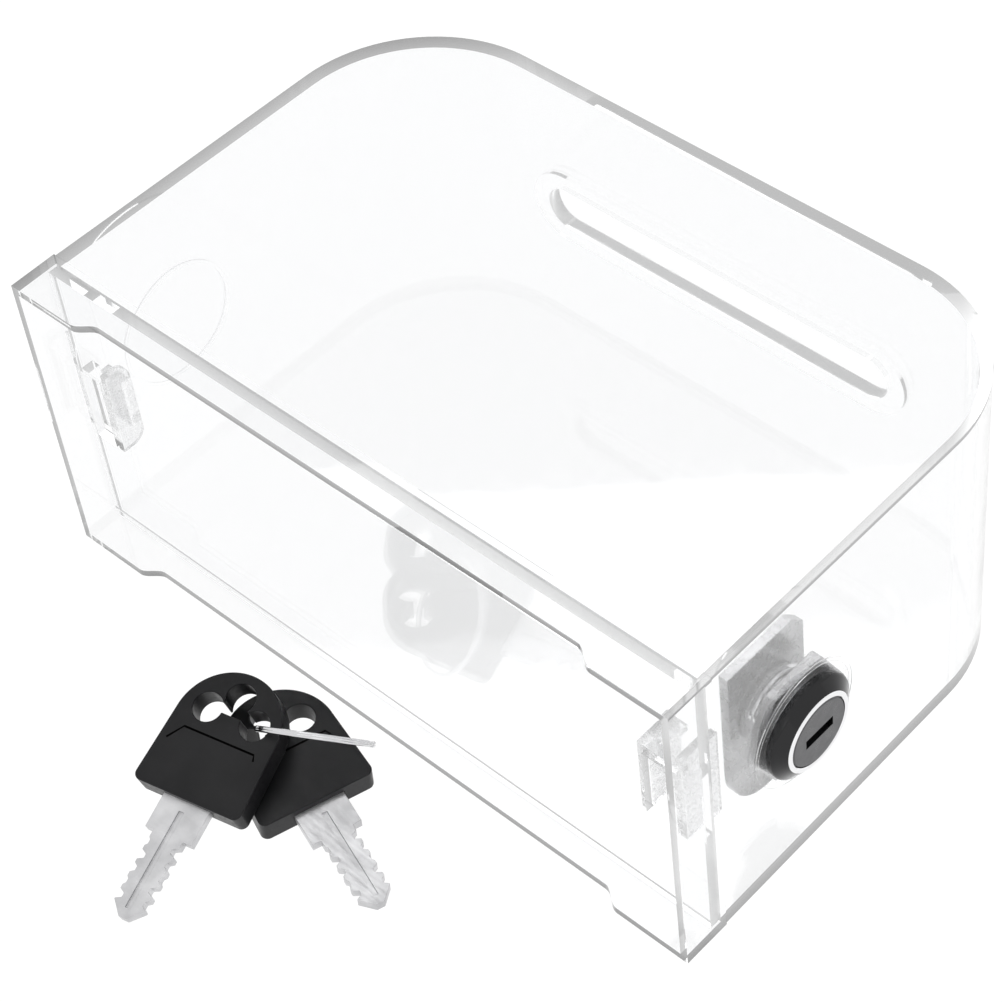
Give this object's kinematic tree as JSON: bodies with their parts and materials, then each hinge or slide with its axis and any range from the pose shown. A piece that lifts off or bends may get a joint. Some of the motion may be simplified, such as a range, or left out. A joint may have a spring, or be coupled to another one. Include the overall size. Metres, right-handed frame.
{
  "type": "donation box",
  "caption": "Clear moulded collection box with a money slot, a lockable bottom door, a cam lock and keys on a split ring.",
  "frame": {"origin": "corner of the box where the back wall, the plain side wall and the foot rim meet, on the plane the box lies on", "axes": "+X from the plain side to the lock side, +Y from the foot rim to the slotted wall (up in use), +Z from the back wall to the front wall (up as it lies)"},
  "size_m": [0.1632, 0.1652, 0.0705],
  "materials": {
    "clear_plastic": "clear injection-moulded polystyrene, polished",
    "clear_door": "clear injection-moulded polystyrene, matt inside the catches",
    "lock_chrome": "bright chrome plating",
    "lock_core": "satin nickel plating",
    "zinc_plate": "bright zinc plating",
    "wafer_brass": "stamped",
    "key_steel": "nickel-plated, fine brushed",
    "key_black": "satin black moulding",
    "ring_steel": "bright spring steel"
  },
  "bodies": {
    "box": {"shell": "clear_plastic", "lock_housing": "lock_chrome", "hex_nut": "zinc_plate"},
    "door": {"base_door": "clear_door"},
    "lock_core": {"lock_plug": "lock_core", "stop_washer": "zinc_plate", "cam": "zinc_plate", "spring_washer": "zinc_plate", "cam_screw": "zinc_plate"},
    "sprung_wafer_1": {"wafer_1": "wafer_brass"},
    "sprung_wafer_2": {"wafer_2": "wafer_brass"},
    "sprung_wafer_3": {"wafer_3": "wafer_brass"},
    "sprung_wafer_4": {"wafer_4": "wafer_brass"},
    "sprung_wafer_5": {"wafer_5": "wafer_brass"},
    "ring": {"key_ring": "ring_steel"},
    "key_a": {"key_a_blade": "key_steel", "key_a_bow": "key_black"},
    "key_b": {"key_b_blade": "key_steel", "key_b_bow": "key_black"}
  },
  "joints": [
    {"name": "door_swing", "type": "hinge", "parent": "box", "child": "door", "pos_m": [0.002, 0.0073, 0.035], "axis": [0, 0, -1], "range_deg": [0, 6]},
    {"name": "lock_turn", "type": "hinge", "parent": "box", "child": "lock_core", "pos_m": [0.15, 0.0333, 0.03525], "axis": [-1, 0, 0], "range_deg": [0, 90]},
    {"name": "wafer_1_slide", "type": "slide", "parent": "lock_core", "child": "sprung_wafer_1", "axis": [0, 1, 0], "range_m": [0, 0.001], "stiffness_N_per_m": 40},
    {"name": "wafer_2_slide", "type": "slide", "parent": "lock_core", "child": "sprung_wafer_2", "axis": [0, 1, 0], "range_m": [0, 0.001], "stiffness_N_per_m": 40},
    {"name": "wafer_3_slide", "type": "slide", "parent": "lock_core", "child": "sprung_wafer_3", "axis": [0, 1, 0], "range_m": [0, 0.001], "stiffness_N_per_m": 40},
    {"name": "wafer_4_slide", "type": "slide", "parent": "lock_core", "child": "sprung_wafer_4", "axis": [0, 1, 0], "range_m": [0, 0.001], "stiffness_N_per_m": 40},
    {"name": "wafer_5_slide", "type": "slide", "parent": "lock_core", "child": "sprung_wafer_5", "axis": [0, 1, 0], "range_m": [0, 0.001], "stiffness_N_per_m": 40},
    {"name": "keys_lift", "type": "slide", "parent": "box", "child": "ring", "axis": [0, 0, 1], "range_m": [0, 0.12]},
    {"name": "key_a_swing", "type": "hinge", "parent": "ring", "child": "key_a", "pos_m": [0.066, -0.017, 0.01], "axis": [0, 0, 1], "range_deg": [-2, 0]},
    {"name": "key_b_swing", "type": "hinge", "parent": "ring", "child": "key_b", "pos_m": [0.071, -0.01, 0.004], "axis": [0, 0, 1], "range_deg": [0, 3]}
  ],
  "couplings": [
    {"joint": "wafer_2_slide", "follows": "wafer_1_slide", "ratio": 1},
    {"joint": "wafer_3_slide", "follows": "wafer_1_slide", "ratio": 1},
    {"joint": "wafer_4_slide", "follows": "wafer_1_slide", "ratio": 1},
    {"joint": "wafer_5_slide", "follows": "wafer_1_slide", "ratio": 1}
  ]
}
